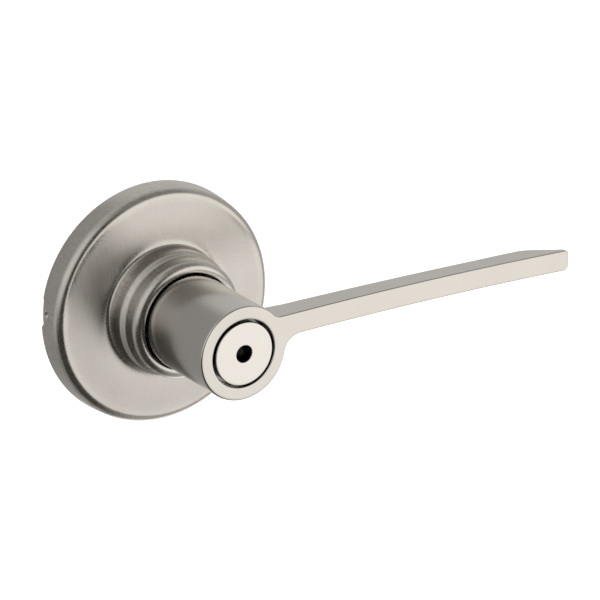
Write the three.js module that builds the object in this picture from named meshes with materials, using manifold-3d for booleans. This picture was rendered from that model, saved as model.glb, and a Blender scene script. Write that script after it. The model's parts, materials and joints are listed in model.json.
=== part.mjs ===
// Door lever handle: the exterior half of a tubular privacy lever set.
//
// Units are millimetres. +Y points into the door, -Y towards the hand, +X along the lever
// and +Z up. The origin is on the spindle axis, in the plane of the door's face, so the rose
// stands on y = 0 and everything at y > 0 is inside the door.

import * as THREE from 'three';
import { mergeVertices } from 'three/addons/utils/BufferGeometryUtils.js';
import Module from 'manifold-3d';

const wasm = await Module();
wasm.setup();

// ---------------------------------------------------------------- driving dimensions

const ROUND_SIDES = 36; // sides of the turned inner pieces
const COVER_SIDES = 56; // sides of the rose and the hub
const SMALL_SIDES = 16; // sides of screws, pins and small holes
const WIRE_SIDES = 8; // sides of spring wire

const SEAT_GAP = 0.3; // left between pieces that touch
const RUNNING_GAP = 0.15; // left between a shaft and its bearing

// Rose: a stamped cover with a stepped neck, snapped over the mounting plate.
const ROSE_RADIUS = 33.3;
const ROSE_SHEET = 0.8;
const ROSE_SIDE_TOP_RADIUS = 32.85;
const ROSE_CORNER = 2.4;
const ROSE_FACE_Y = -7.5;
const NECK_FOOT_Y = -7.75;
const NECK_FILLET = 3.5;
const NECK_RADIUS = 17.3;
const NECK_STEP_FROM_Y = -12.9;
const NECK_STEP_TO_Y = -15;
const NECK_TOP_RADIUS = 16.3;
const SHOULDER_ROUND = 1.9;
const LIP_Y = -19.9;
const MOUTH_RADIUS = 13.67;

// Snap tongue in the rose's side wall, opposite the lever. Angles run from +X towards +Z.
const TONGUE_FROM = 168;
const TONGUE_TO = 180.7;
const TONGUE_LENGTH = 3.6;
const TONGUE_SLIT = 0.5; // degrees
const TONGUE_PRESS = 0.4;
const DIMPLE_RADIUS = 0.8;
const DIMPLE_Y = -2.3;

// Lever: a die-cast hub and a slim bar that leaves it above the axis.
const HUB_RADIUS = 12.75;
const SHANK_RADIUS = 13;
const HUB_FACE_Y = -46.7;
const SHANK_END_Y = -14.1;
const HUB_EDGE = 0.35;
const FRONT_BORE_RADIUS = 9.25;
const FRONT_BORE_END_Y = -40.2;
const BAR_TIP_X = 106.4;
const BAR_HEIGHT = 6.0;
const BAR_CROWN_X = 48;
const BAR_CROWN_Z = 8.19;
const BAR_ARCH_RADIUS = 1600;
const BAR_TIP_CORNER = 1.5;
const FILLET_ABOVE = 2.6;
const FILLET_BELOW = 5.0;
const BAR_BACK = [[4, -38.6], [17.5, -39.05], [39, -39.5], [75, -40.05], [91, -39.85], [96, -40.2]];
const BAR_TIP_ROUND = [[96, -40.2], [101, -41.3], [103.4, -44.4], [106.4, -44.6]];

// Insert in the hub's face, with the emergency release hole.
const INSERT_RADIUS = 8.48;
const INSERT_FACE_Y = -46.9;
const INSERT_THICKNESS = 1.4;
const INSERT_STEM_RADIUS = 5.0;
const INSERT_STEM_END_Y = -41.0;
const RELEASE_HOLE_RADIUS = 2.33;

// Drive tube, which carries the lever and turns in the plate's bush and the cage.
const TUBE_RADIUS = 8.0;
const TUBE_BORE = 6.5;
const TUBE_FRONT_Y = -38.5;
const TUBE_BACK_Y = 4.2;
const TUBE_GROOVE_RADIUS = 7.3;

// Mounting plate and its posts.
const PLATE_RADIUS = 31.6;
const PLATE_THICKNESS = 1.6;
const PLATE_RIM_Y = -4.2;
const PLATE_RIM_SHEET = 0.9;
const PLATE_HOLE = 9.8;
const POST_SPREAD = 19.5; // from the axis to each post
const POST_RADIUS = 3.8;
const POST_NECK = 2.6;
const POST_HEAD_RADIUS = 3.7;
const POST_LENGTH = 12;
const POST_THREAD_RADIUS = 1.7;
const POST_THREAD_DEPTH = 10;

// Spring cage, its screws and the rotation stops.
const CAGE_RADIUS = 15.2;
const CAGE_SHEET = 0.8;
const CAGE_BACK_Y = -1.9;
const CAGE_FRONT_Y = -12.4;
const CAGE_EAR_RADIUS = 24;
const CAGE_EAR_HALF_WIDTH = 4.4;
const SCREW_CIRCLE = 20;
const SCREW_ANGLES = { cage_screw_top: 90, cage_screw_left: 210, cage_screw_right: 330 };
const SCREW_RADIUS = 1.25;
const SCREW_HEAD_RADIUS = 2.8;
const SCREW_HEAD_HEIGHT = 1.5;
const STOP_CIRCLE = 12.6;
const STOP_PIN_RADIUS = 1.0;
const STOP_COLLAR_RADIUS = 1.5;
const LEVER_TRAVEL = 48; // degrees, each way
const STOP_LUG_HALF_ANGLE = 12;

// Spring driver on the drive tube, and the return spring around the tube.
const DRIVER_FRONT_Y = -11.0;
const DRIVER_BACK_Y = -9.2;
const DRIVER_RADIUS = 11.0;
const DRIVER_REACH = 13.6;
const FINGER_HALF_WIDTH = 1.7;
const FINGER_TOP = 12.5;
const SPRING_COIL_RADIUS = 10.2;
const SPRING_WIRE = 1.2;
const SPRING_BACK_Y = -4.0;
const SPRING_FRONT_Y = -8.2;
const SPRING_TURNS = 3;
const SPRING_LEG_X = 2.6;
const SPRING_LEG_TOP = 13.7;

// Lever catch in its window, near the rose on the hub's underside.
const CATCH_Y = -23.5;
const CATCH_HALF_WIDTH = 1.6;
const CATCH_HALF_LENGTH = 1.5;
const CATCH_OUTER_Z = -9.9;
const CATCH_FOOT_Z = -5.3;
const CATCH_FOOT_THICKNESS = 0.5;

// Release plunger, spindle and what holds them in the tube.
const PLUNGER_HEAD_RADIUS = 4.2;
const PLUNGER_HEAD_Y = -38.0;
const PLUNGER_HEAD_THICKNESS = 1.2;
const ROD_RADIUS = 1.2;
const ROD_END_Y = 33;
const GUIDE_FRONT_Y = -30.5;
const GUIDE_BACK_Y = -27.5;
const RELEASE_COIL_RADIUS = 2.6;
const RELEASE_WIRE = 0.5;
const RELEASE_TURNS = 3.5;
const PLUG_FRONT_Y = -17.5;
const PLUG_BACK_Y = -9.0;
const SPINDLE_RADIUS = 4.4;
const SPINDLE_FLAT_Z = -1.4;
const SPINDLE_FRONT_Y = -18.6;
const SPINDLE_END_Y = 36;
const CROSS_PIN_Y = -13;
const CROSS_PIN_Z = -2.85;
const CROSS_PIN_RADIUS = 0.7;

// ---------------------------------------------------------------- materials

const FINISHES = {
  satinNickel: { color: 0xc4beb6, roughness: 0.34, metalness: 1 },
  polishedNickel: { color: 0xd2ccc4, roughness: 0.22, metalness: 1 },
  zincPlate: { color: 0xb4b8bb, roughness: 0.42, metalness: 1 },
  darkSteel: { color: 0x74767a, roughness: 0.38, metalness: 1 },
  springSteel: { color: 0x8b8d91, roughness: 0.3, metalness: 1 },
  bronze: { color: 0xa67c49, roughness: 0.45, metalness: 1 },
  nylon: { color: 0xe6e3db, roughness: 0.55, metalness: 0 },
};

// ---------------------------------------------------------------- shape helpers

// Turns a closed geometry into a solid with its faces pointing outwards.
function solid(geometry) {
  for (const name of ['normal', 'uv']) geometry.deleteAttribute(name);
  const merged = mergeVertices(geometry);
  const position = merged.attributes.position;
  const corner = [new THREE.Vector3(), new THREE.Vector3(), new THREE.Vector3()];
  const faces = [];
  let volume = 0;
  for (let i = 0; i < merged.index.count; i += 3) {
    const face = [0, 1, 2].map((k) => merged.index.getX(i + k));
    if (new Set(face).size < 3) continue;
    face.forEach((vertex, k) => corner[k].fromBufferAttribute(position, vertex));
    volume += corner[0].dot(corner[1].clone().cross(corner[2]));
    faces.push(face);
  }
  if (volume < 0) faces.forEach((face) => face.reverse());
  const mesh = { numProp: 3, vertProperties: position.array, triVerts: new Uint32Array(faces.flat()) };
  return new wasm.Manifold(new wasm.Mesh(mesh));
}

// A body of revolution about the spindle axis. Each point of the profile is [radius, y].
function turned(profile, sides = ROUND_SIDES) {
  const points = [...profile, profile[0]].map(([radius, y]) => new THREE.Vector2(radius, y));
  return solid(new THREE.LatheGeometry(points, sides));
}

const disc = (radius, y0, y1, sides) => turned([[0, y0], [radius, y0], [radius, y1], [0, y1]], sides);

const ring = (inner, outer, y0, y1, sides) =>
  turned([[inner, y0], [outer, y0], [outer, y1], [inner, y1]], sides);

function block(x0, x1, y0, y1, z0, z1) {
  const box = new THREE.BoxGeometry(x1 - x0, y1 - y0, z1 - z0);
  return solid(box.translate((x0 + x1) / 2, (y0 + y1) / 2, (z0 + z1) / 2));
}

// A round peg between two points, with an even number of sides.
function peg(radius, from, to, sides = SMALL_SIDES) {
  const [start, end] = [new THREE.Vector3(...from), new THREE.Vector3(...to)];
  const along = end.clone().sub(start);
  const geometry = new THREE.CylinderGeometry(radius, radius, along.length(), sides);
  const turn = new THREE.Quaternion();
  turn.setFromUnitVectors(new THREE.Vector3(0, 1, 0), along.clone().normalize());
  geometry.applyQuaternion(turn);
  geometry.translate(...start.add(end).multiplyScalar(0.5).toArray());
  return solid(geometry);
}

// An outline drawn from the front, in X and Z, carried along Y from y0 to y1.
function frontPlate(shape, y0, y1) {
  const geometry = new THREE.ExtrudeGeometry(shape, { depth: y1 - y0, bevelEnabled: false, curveSegments: 8 });
  return solid(geometry.rotateX(Math.PI / 2).translate(0, y1, 0));
}

// An outline drawn from above, in X and Y, carried up from z0 to z1.
function planPlate(shape, z0, z1) {
  const geometry = new THREE.ExtrudeGeometry(shape, { depth: z1 - z0, bevelEnabled: false, curveSegments: 8 });
  return solid(geometry.translate(0, 0, z0));
}

// Round wire along a curve.
function wire(curve, thickness, steps) {
  const section = new THREE.Shape().absarc(0, 0, thickness / 2, 0, 2 * Math.PI, false);
  const options = { steps, curveSegments: WIRE_SIDES / 2, extrudePath: curve };
  return solid(new THREE.ExtrudeGeometry(section, options));
}

// Points on an arc in the (radius, y) plane, with its angles in degrees.
function arc(centreR, centreY, radius, from, to, steps) {
  return Array.from({ length: steps + 1 }, (_, i) => {
    const angle = THREE.MathUtils.degToRad(from + ((to - from) * i) / steps);
    return [centreR + radius * Math.cos(angle), centreY + radius * Math.sin(angle)];
  });
}

// A point at an angle round the spindle axis, from +X towards +Z, in degrees.
function around(radius, degrees, y = 0) {
  const angle = THREE.MathUtils.degToRad(degrees);
  return [radius * Math.cos(angle), y, radius * Math.sin(angle)];
}

// A wedge about the spindle axis, between two angles in degrees and two radii.
function sector(inner, outer, from, to, y0, y1) {
  const steps = Math.max(2, Math.ceil(Math.abs(to - from) / 6));
  const shape = new THREE.Shape();
  const edge = (radius, start, end) =>
    Array.from({ length: steps + 1 }, (_, i) => around(radius, start + ((end - start) * i) / steps));
  const points = [...edge(inner, from, to), ...edge(outer, to, from)];
  shape.setFromPoints(points.map(([x, , z]) => new THREE.Vector2(x, z)));
  return frontPlate(shape, y0, y1);
}

const union = (...bodies) => bodies.reduce((whole, body) => whole.add(body));
const cut = (body, ...tools) => tools.reduce((whole, tool) => whole.subtract(tool), body);

// ---------------------------------------------------------------- the group and its nodes

const group = new THREE.Group();

function addNode(name, body, finish) {
  const { vertProperties, triVerts } = body.getMesh();
  const geometry = new THREE.BufferGeometry();
  geometry.setAttribute('position', new THREE.BufferAttribute(vertProperties, 3));
  geometry.setIndex(new THREE.BufferAttribute(triVerts, 1));
  geometry.computeVertexNormals();
  const mesh = new THREE.Mesh(geometry, new THREE.MeshStandardMaterial(FINISHES[finish]));
  mesh.name = name;
  group.add(mesh);
}

// ---------------------------------------------------------------- rose

// One face of the rose's sheet, from the back rim to the mouth, set in by an inset. The last
// argument is the number of steps in the tightest rounds.
function roseOutline(inset, steps) {
  const cornerR = ROSE_SIDE_TOP_RADIUS - ROSE_CORNER;
  const cornerY = ROSE_FACE_Y + ROSE_CORNER;
  const filletR = NECK_RADIUS + NECK_FILLET;
  const filletY = NECK_FOOT_Y - NECK_FILLET;
  const shoulderR = NECK_TOP_RADIUS - SHOULDER_ROUND;
  const shoulderY = LIP_Y + SHOULDER_ROUND;
  return [
    [ROSE_RADIUS - inset, 0],
    ...arc(cornerR, cornerY, ROSE_CORNER - inset, 0, -90, steps + 1),
    ...arc(filletR, filletY, NECK_FILLET + inset, 90, 180, steps + 2),
    [NECK_RADIUS - inset, NECK_STEP_FROM_Y],
    [NECK_TOP_RADIUS - inset, NECK_STEP_TO_Y],
    ...arc(shoulderR, shoulderY, SHOULDER_ROUND - inset, 0, -90, steps + 1),
    [MOUTH_RADIUS, LIP_Y + inset],
  ];
}

function roseCover() {
  const shell = turned([...roseOutline(0, 2), ...roseOutline(ROSE_SHEET, 1).reverse()], COVER_SIDES);
  const middle = (TONGUE_FROM + TONGUE_TO) / 2;
  const wallIn = ROSE_RADIUS - 3;
  const wallOut = ROSE_RADIUS + 1;
  const window = sector(wallIn, wallOut, TONGUE_FROM, TONGUE_TO, -TONGUE_LENGTH, 1);
  const outer = ROSE_SIDE_TOP_RADIUS - 0.05;
  const tongue = sector(
    outer - ROSE_SHEET, outer, TONGUE_FROM + TONGUE_SLIT, TONGUE_TO - TONGUE_SLIT, -TONGUE_LENGTH - 1, 0,
  );
  const dimple = peg(
    DIMPLE_RADIUS,
    around(outer - ROSE_SHEET / 2, middle, DIMPLE_Y),
    around(outer - ROSE_SHEET - TONGUE_PRESS, middle, DIMPLE_Y),
  );
  return union(cut(shell, window), tongue, dimple);
}

// ---------------------------------------------------------------- mounting plate and posts

function mountingPlate() {
  const rimIn = PLATE_RADIUS - PLATE_RIM_SHEET;
  const blank = turned([
    [PLATE_HOLE, 0], [PLATE_RADIUS, 0], [PLATE_RADIUS, PLATE_RIM_Y],
    [rimIn, PLATE_RIM_Y], [rimIn, -PLATE_THICKNESS], [PLATE_HOLE, -PLATE_THICKNESS],
  ]);
  const snapWindow = sector(rimIn - 1, PLATE_RADIUS + 1, 171.5, 177.2, -3.7, -1.2);
  const postHoles = [-1, 1].map((side) => {
    const x = side * POST_SPREAD;
    return peg(POST_NECK + SEAT_GAP, [x, -5, 0], [x, 5, 0]);
  });
  const screwHoles = Object.values(SCREW_ANGLES).map((angle) => {
    const radius = SCREW_RADIUS + SEAT_GAP;
    return peg(radius, around(SCREW_CIRCLE, angle, -5), around(SCREW_CIRCLE, angle, 5));
  });
  return cut(blank, snapWindow, ...postHoles, ...screwHoles);
}

// A post is swaged over the plate's front and tapped from its free end for a through bolt.
function post(side) {
  const x = side * POST_SPREAD;
  const headFront = -PLATE_THICKNESS - SEAT_GAP - 0.8;
  const headBack = -PLATE_THICKNESS - SEAT_GAP;
  const body = union(
    peg(POST_HEAD_RADIUS, [x, headFront, 0], [x, headBack, 0]),
    peg(POST_NECK, [x, headFront, 0], [x, 1, 0]),
    peg(POST_RADIUS, [x, SEAT_GAP, 0], [x, POST_LENGTH, 0]),
  );
  const thread = [[x, POST_LENGTH - POST_THREAD_DEPTH, 0], [x, POST_LENGTH + 1, 0]];
  return cut(body, peg(POST_THREAD_RADIUS, ...thread));
}

// ---------------------------------------------------------------- spring cage and its fasteners

function springCage() {
  const inside = CAGE_RADIUS - CAGE_SHEET;
  const bore = TUBE_RADIUS + RUNNING_GAP + 0.2;
  const cup = turned([
    [inside, CAGE_BACK_Y], [CAGE_RADIUS, CAGE_BACK_Y], [CAGE_RADIUS, CAGE_FRONT_Y], [bore, CAGE_FRONT_Y],
    [bore, CAGE_FRONT_Y + CAGE_SHEET], [inside, CAGE_FRONT_Y + CAGE_SHEET],
  ]);
  const ears = Object.values(SCREW_ANGLES).map((angle) => {
    const half = THREE.MathUtils.radToDeg(CAGE_EAR_HALF_WIDTH / SCREW_CIRCLE);
    return sector(inside + 0.3, CAGE_EAR_RADIUS, angle - half, angle + half,
      CAGE_BACK_Y - CAGE_SHEET, CAGE_BACK_Y);
  });
  const earHoles = Object.values(SCREW_ANGLES).map((angle) =>
    peg(SCREW_RADIUS + SEAT_GAP, around(SCREW_CIRCLE, angle, -5), around(SCREW_CIRCLE, angle, 0)));
  const springTab = block(
    -FINGER_HALF_WIDTH, FINGER_HALF_WIDTH, SPRING_FRONT_Y - 0.6, SPRING_BACK_Y + 0.6, FINGER_TOP + 0.5, inside + 0.3,
  );
  const pinHoles = stopAngles().map((angle) =>
    peg(STOP_PIN_RADIUS + SEAT_GAP, around(STOP_CIRCLE, angle, -14), around(STOP_CIRCLE, angle, -10)));
  return cut(union(cup, springTab, ...ears), ...earHoles, ...pinHoles);
}

// The stop pins stand where the driver's lug meets them at the end of the lever's travel.
function stopAngles() {
  const clearance = 0.6;
  const pinHalfAngle = THREE.MathUtils.radToDeg(Math.asin(STOP_COLLAR_RADIUS / STOP_CIRCLE));
  const offset = LEVER_TRAVEL + STOP_LUG_HALF_ANGLE + pinHalfAngle + clearance;
  return [-90 - offset, -90 + offset];
}

function stopPin(angle) {
  const at = (y) => around(STOP_CIRCLE, angle, y);
  const collarFront = CAGE_FRONT_Y + CAGE_SHEET + SEAT_GAP;
  return union(
    peg(STOP_PIN_RADIUS, at(CAGE_FRONT_Y + 0.1), at(DRIVER_BACK_Y)),
    peg(STOP_COLLAR_RADIUS, at(collarFront), at(DRIVER_BACK_Y)),
  );
}

function cageScrew(angle) {
  const at = (y) => around(SCREW_CIRCLE, angle, y);
  const seat = CAGE_BACK_Y - CAGE_SHEET - SEAT_GAP;
  const head = peg(SCREW_HEAD_RADIUS, at(seat - SCREW_HEAD_HEIGHT), at(seat));
  const shank = peg(SCREW_RADIUS, at(seat - 0.5), at(-0.2));
  const [x, , z] = around(SCREW_CIRCLE, angle);
  const slot = block(x - 1.7, x + 1.7, seat - SCREW_HEAD_HEIGHT - 1, seat - 0.8, z - 0.3, z + 0.3);
  const crossSlot = block(x - 0.3, x + 0.3, seat - SCREW_HEAD_HEIGHT - 1, seat - 0.8, z - 1.7, z + 1.7);
  return cut(union(head, shank), slot, crossSlot);
}

function bearingBush() {
  const bore = TUBE_RADIUS + RUNNING_GAP;
  const sleeve = PLATE_HOLE - SEAT_GAP;
  const flangeBack = -PLATE_THICKNESS - SEAT_GAP;
  return turned([
    [bore, 0.7], [bore, flangeBack - 0.8], [sleeve + 1.9, flangeBack - 0.8],
    [sleeve + 1.9, flangeBack], [sleeve, flangeBack], [sleeve, 0.7],
  ]);
}

// ---------------------------------------------------------------- drive train

function driveTube() {
  const tube = ring(TUBE_BORE, TUBE_RADIUS, TUBE_FRONT_Y, TUBE_BACK_Y);
  const groove = ring(TUBE_GROOVE_RADIUS, TUBE_RADIUS + 1, 1.8, 3.4);
  const keyway = block(-1.5, 1.5, DRIVER_FRONT_Y - SEAT_GAP, DRIVER_BACK_Y + SEAT_GAP, 5, 9);
  const catchSlot = block(
    -CATCH_HALF_WIDTH - SEAT_GAP, CATCH_HALF_WIDTH + SEAT_GAP,
    CATCH_Y - CATCH_HALF_LENGTH - SEAT_GAP, CATCH_Y + CATCH_HALF_LENGTH + SEAT_GAP, -9, -5,
  );
  return cut(tube, groove, keyway, catchSlot, crossPinHole());
}

function crossPinHole() {
  const radius = CROSS_PIN_RADIUS + 0.2;
  return peg(radius, [-9, CROSS_PIN_Y, CROSS_PIN_Z], [9, CROSS_PIN_Y, CROSS_PIN_Z]);
}

function springDriver() {
  const inner = TUBE_RADIUS + SEAT_GAP;
  const hoop = ring(inner, DRIVER_RADIUS, DRIVER_FRONT_Y, DRIVER_BACK_Y);
  const key = block(-1.2, 1.2, DRIVER_FRONT_Y, DRIVER_BACK_Y, TUBE_BORE + 0.4, inner + 0.6);
  const arm = block(
    -FINGER_HALF_WIDTH, FINGER_HALF_WIDTH, DRIVER_FRONT_Y, DRIVER_BACK_Y, DRIVER_RADIUS - 1, FINGER_TOP,
  );
  const finger = block(
    -FINGER_HALF_WIDTH, FINGER_HALF_WIDTH, DRIVER_FRONT_Y, SPRING_BACK_Y + 0.6, DRIVER_RADIUS + 0.4, FINGER_TOP,
  );
  const lug = sector(
    DRIVER_RADIUS - 1, DRIVER_REACH, -90 - STOP_LUG_HALF_ANGLE, -90 + STOP_LUG_HALF_ANGLE,
    DRIVER_FRONT_Y, DRIVER_BACK_Y,
  );
  return union(hoop, key, arm, finger, lug);
}

// Close-wound coil whose two legs stand either side of the driver's finger.
function returnSpring() {
  const bend = 7; // degrees between a leg and the first point of the coil
  const legAngle = THREE.MathUtils.radToDeg(Math.asin(SPRING_LEG_X / SPRING_COIL_RADIUS));
  const from = 90 - legAngle + bend;
  const sweep = SPRING_TURNS * 360 + 2 * (legAngle - bend);
  const perTurn = 14;
  const count = Math.round((sweep / 360) * perTurn);
  const coil = Array.from({ length: count + 1 }, (_, i) => {
    const share = i / count;
    const y = SPRING_BACK_Y + (SPRING_FRONT_Y - SPRING_BACK_Y) * share;
    return new THREE.Vector3(...around(SPRING_COIL_RADIUS, from + sweep * share, y));
  });
  const leg = (side, y) => [SPRING_LEG_TOP, 12.3, 11.0].map((z) => new THREE.Vector3(side * SPRING_LEG_X, y, z));
  const points = [...leg(1, SPRING_BACK_Y), ...coil, ...leg(-1, SPRING_FRONT_Y).reverse()];
  return wire(new THREE.CatmullRomCurve3(points, false, 'centripetal'), SPRING_WIRE, points.length + 12);
}

function retainingRing() {
  const hoop = ring(TUBE_GROOVE_RADIUS + 0.2, TUBE_GROOVE_RADIUS + 3.3, 2.1, 3.1);
  return cut(hoop, sector(3, 14, -120, -60, 1, 4));
}

// ---------------------------------------------------------------- lever

// The bar's top edge: a long shallow arch.
function barTop(x) {
  const run = x - BAR_CROWN_X;
  return BAR_CROWN_Z - BAR_ARCH_RADIUS + Math.sqrt(BAR_ARCH_RADIUS ** 2 - run ** 2);
}

// The fillet between the hub's circle and one edge of the bar: its centre and the points where
// it meets them, in X and Z. Side is 1 above the bar and -1 below it.
function hubFillet(edgeZ, radius, side) {
  const centreZ = edgeZ + side * radius;
  const centreX = Math.sqrt((HUB_RADIUS + radius) ** 2 - centreZ ** 2);
  const onHub = Math.atan2(-centreZ, -centreX);
  const onEdge = -side * Math.PI / 2;
  return { centreX, centreZ, onHub, onEdge };
}

function barOutline() {
  const above = hubFillet(barTop(12), FILLET_ABOVE, 1);
  const below = hubFillet(barTop(16) - BAR_HEIGHT, FILLET_BELOW, -1);
  const steps = 14;
  const runTo = BAR_TIP_X - BAR_TIP_CORNER;
  const shape = new THREE.Shape();
  shape.moveTo(0, -2);
  shape.lineTo(0, 5);
  shape.absarc(above.centreX, above.centreZ, FILLET_ABOVE, above.onHub, above.onEdge, false);
  for (let i = 1; i <= steps; i += 1) {
    const x = above.centreX + ((runTo - above.centreX) * i) / steps;
    shape.lineTo(x, barTop(x));
  }
  const topZ = barTop(runTo) - BAR_TIP_CORNER;
  const bottomZ = barTop(runTo) - BAR_HEIGHT + BAR_TIP_CORNER;
  shape.absarc(runTo, topZ, BAR_TIP_CORNER, Math.PI / 2, 0, true);
  shape.absarc(runTo, bottomZ, BAR_TIP_CORNER, 0, -Math.PI / 2, true);
  for (let i = steps; i >= 1; i -= 1) {
    const x = below.centreX + ((runTo - below.centreX) * i) / steps;
    shape.lineTo(x, barTop(x) - BAR_HEIGHT);
  }
  shape.absarc(below.centreX, below.centreZ, FILLET_BELOW, below.onEdge, below.onHub, false);
  return shape;
}

function barPlan() {
  const vector = ([x, y]) => new THREE.Vector2(x, y);
  const back = BAR_BACK.map(vector);
  const tip = new THREE.CubicBezierCurve(...BAR_TIP_ROUND.map(vector)).getPoints(8);
  const shape = new THREE.Shape();
  shape.moveTo(0, HUB_FACE_Y);
  shape.lineTo(0, back[0].y);
  back.forEach((point) => shape.lineTo(point.x, point.y));
  tip.slice(1).forEach((point) => shape.lineTo(point.x, point.y));
  shape.lineTo(BAR_TIP_X, HUB_FACE_Y);
  shape.closePath();
  return shape;
}

function lever() {
  const hub = turned([
    [0, HUB_FACE_Y], [HUB_RADIUS - HUB_EDGE, HUB_FACE_Y], [HUB_RADIUS, HUB_FACE_Y + HUB_EDGE],
    [HUB_RADIUS, -38], [SHANK_RADIUS, -30], [SHANK_RADIUS, SHANK_END_Y], [0, SHANK_END_Y],
  ], COVER_SIDES);
  const bar = frontPlate(barOutline(), HUB_FACE_Y, -36).intersect(planPlate(barPlan(), -15, 15));
  const catchPocket = block(
    -CATCH_HALF_WIDTH - SEAT_GAP, CATCH_HALF_WIDTH + SEAT_GAP,
    CATCH_Y - CATCH_HALF_LENGTH - SEAT_GAP, CATCH_Y + CATCH_HALF_LENGTH + SEAT_GAP,
    CATCH_OUTER_Z - 0.4, -5,
  );
  const pokeHole = peg(1.4, [0, CATCH_Y, CATCH_OUTER_Z], [0, CATCH_Y, -14]);
  return cut(
    union(hub, bar),
    disc(FRONT_BORE_RADIUS, HUB_FACE_Y - 1, FRONT_BORE_END_Y),
    disc(TUBE_RADIUS + SEAT_GAP, HUB_FACE_Y, SHANK_END_Y + 1),
    catchPocket,
    pokeHole,
  );
}

function insertDisc() {
  const faceBack = INSERT_FACE_Y + INSERT_THICKNESS;
  return turned([
    [RELEASE_HOLE_RADIUS, INSERT_FACE_Y], [INSERT_RADIUS, INSERT_FACE_Y], [INSERT_RADIUS, faceBack],
    [INSERT_STEM_RADIUS, faceBack], [INSERT_STEM_RADIUS, INSERT_STEM_END_Y],
    [RELEASE_HOLE_RADIUS, INSERT_STEM_END_Y],
  ]);
}

const insertRetainer = () =>
  ring(INSERT_STEM_RADIUS + SEAT_GAP, FRONT_BORE_RADIUS - SEAT_GAP, -43.2, FRONT_BORE_END_Y - SEAT_GAP);

// ---------------------------------------------------------------- lever catch

function leverCatch() {
  const footBack = CATCH_FOOT_Z;
  const stem = block(
    -CATCH_HALF_WIDTH, CATCH_HALF_WIDTH, CATCH_Y - CATCH_HALF_LENGTH, CATCH_Y + CATCH_HALF_LENGTH,
    CATCH_OUTER_Z, footBack,
  );
  const foot = block(-2.4, 2.4, CATCH_Y - 2.4, CATCH_Y + 2.4, footBack - CATCH_FOOT_THICKNESS, footBack);
  return union(stem, foot);
}

// U-shaped leaf: one leg on the tube's wall, the other on the catch's foot.
function catchSpring() {
  const leaf = 0.4;
  const [front, back] = [-26.2, -19.5];
  const lowest = CATCH_FOOT_Z + 0.25;
  const highest = 5.7;
  const strip = union(
    block(-2.2, 2.2, front, back, lowest, lowest + leaf),
    block(-2.2, 2.2, front, back, highest - leaf, highest),
    block(-2.2, 2.2, back - leaf, back, lowest, highest),
  );
  return cut(strip, peg(ROD_RADIUS + 0.6, [0, -21, 0], [0, -18, 0]));
}

// ---------------------------------------------------------------- release plunger and spindle

const rodGuide = () => ring(ROD_RADIUS + 0.25, TUBE_BORE - SEAT_GAP, GUIDE_FRONT_Y, GUIDE_BACK_Y);

function releasePlunger() {
  const headBack = PLUNGER_HEAD_Y + PLUNGER_HEAD_THICKNESS;
  return turned([
    [0, PLUNGER_HEAD_Y], [PLUNGER_HEAD_RADIUS, PLUNGER_HEAD_Y], [PLUNGER_HEAD_RADIUS, headBack],
    [ROD_RADIUS, headBack], [ROD_RADIUS, ROD_END_Y - 0.5], [ROD_RADIUS - 0.5, ROD_END_Y], [0, ROD_END_Y],
  ], 32);
}

function releaseSpring() {
  const front = PLUNGER_HEAD_Y + PLUNGER_HEAD_THICKNESS + SEAT_GAP + RELEASE_WIRE / 2;
  const back = GUIDE_FRONT_Y - SEAT_GAP - RELEASE_WIRE / 2;
  const perTurn = 10;
  const count = RELEASE_TURNS * perTurn;
  const points = Array.from({ length: count + 1 }, (_, i) => {
    const share = i / count;
    const y = front + (back - front) * share;
    return new THREE.Vector3(...around(RELEASE_COIL_RADIUS, 360 * RELEASE_TURNS * share, y));
  });
  return wire(new THREE.CatmullRomCurve3(points), RELEASE_WIRE, count);
}

// A half-round bar section, grown by a clearance.
function halfRound(y0, y1, grow) {
  const whole = disc(SPINDLE_RADIUS + grow, y0, y1);
  return cut(whole, block(-9, 9, y0 - 1, y1 + 1, SPINDLE_FLAT_Z + grow, 9));
}

function spindlePlug() {
  const body = disc(TUBE_BORE - SEAT_GAP, PLUG_FRONT_Y, PLUG_BACK_Y);
  return cut(
    body,
    halfRound(PLUG_FRONT_Y - 1, PLUG_BACK_Y + 1, 0.2),
    disc(ROD_RADIUS + 0.3, PLUG_FRONT_Y - 1, PLUG_BACK_Y + 1),
    crossPinHole(),
  );
}

const halfRoundSpindle = () => cut(halfRound(SPINDLE_FRONT_Y, SPINDLE_END_Y, 0), crossPinHole());

const spindlePin = () =>
  peg(CROSS_PIN_RADIUS, [-7.4, CROSS_PIN_Y, CROSS_PIN_Z], [7.4, CROSS_PIN_Y, CROSS_PIN_Z]);

// ---------------------------------------------------------------- assembly

addNode('rose_cover', roseCover(), 'satinNickel');
addNode('mounting_plate', mountingPlate(), 'zincPlate');
addNode('post_left', post(-1), 'zincPlate');
addNode('post_right', post(1), 'zincPlate');
addNode('spring_cage', springCage(), 'zincPlate');
for (const [name, angle] of Object.entries(SCREW_ANGLES)) addNode(name, cageScrew(angle), 'darkSteel');
stopAngles().forEach((angle, i) => addNode(['stop_pin_left', 'stop_pin_right'][i], stopPin(angle), 'darkSteel'));
addNode('bearing_bush', bearingBush(), 'bronze');
addNode('return_spring', returnSpring(), 'springSteel');
addNode('rear_thrust_washer', ring(TUBE_RADIUS + SEAT_GAP, 11.6, 1.0, 1.7), 'bronze');

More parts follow.
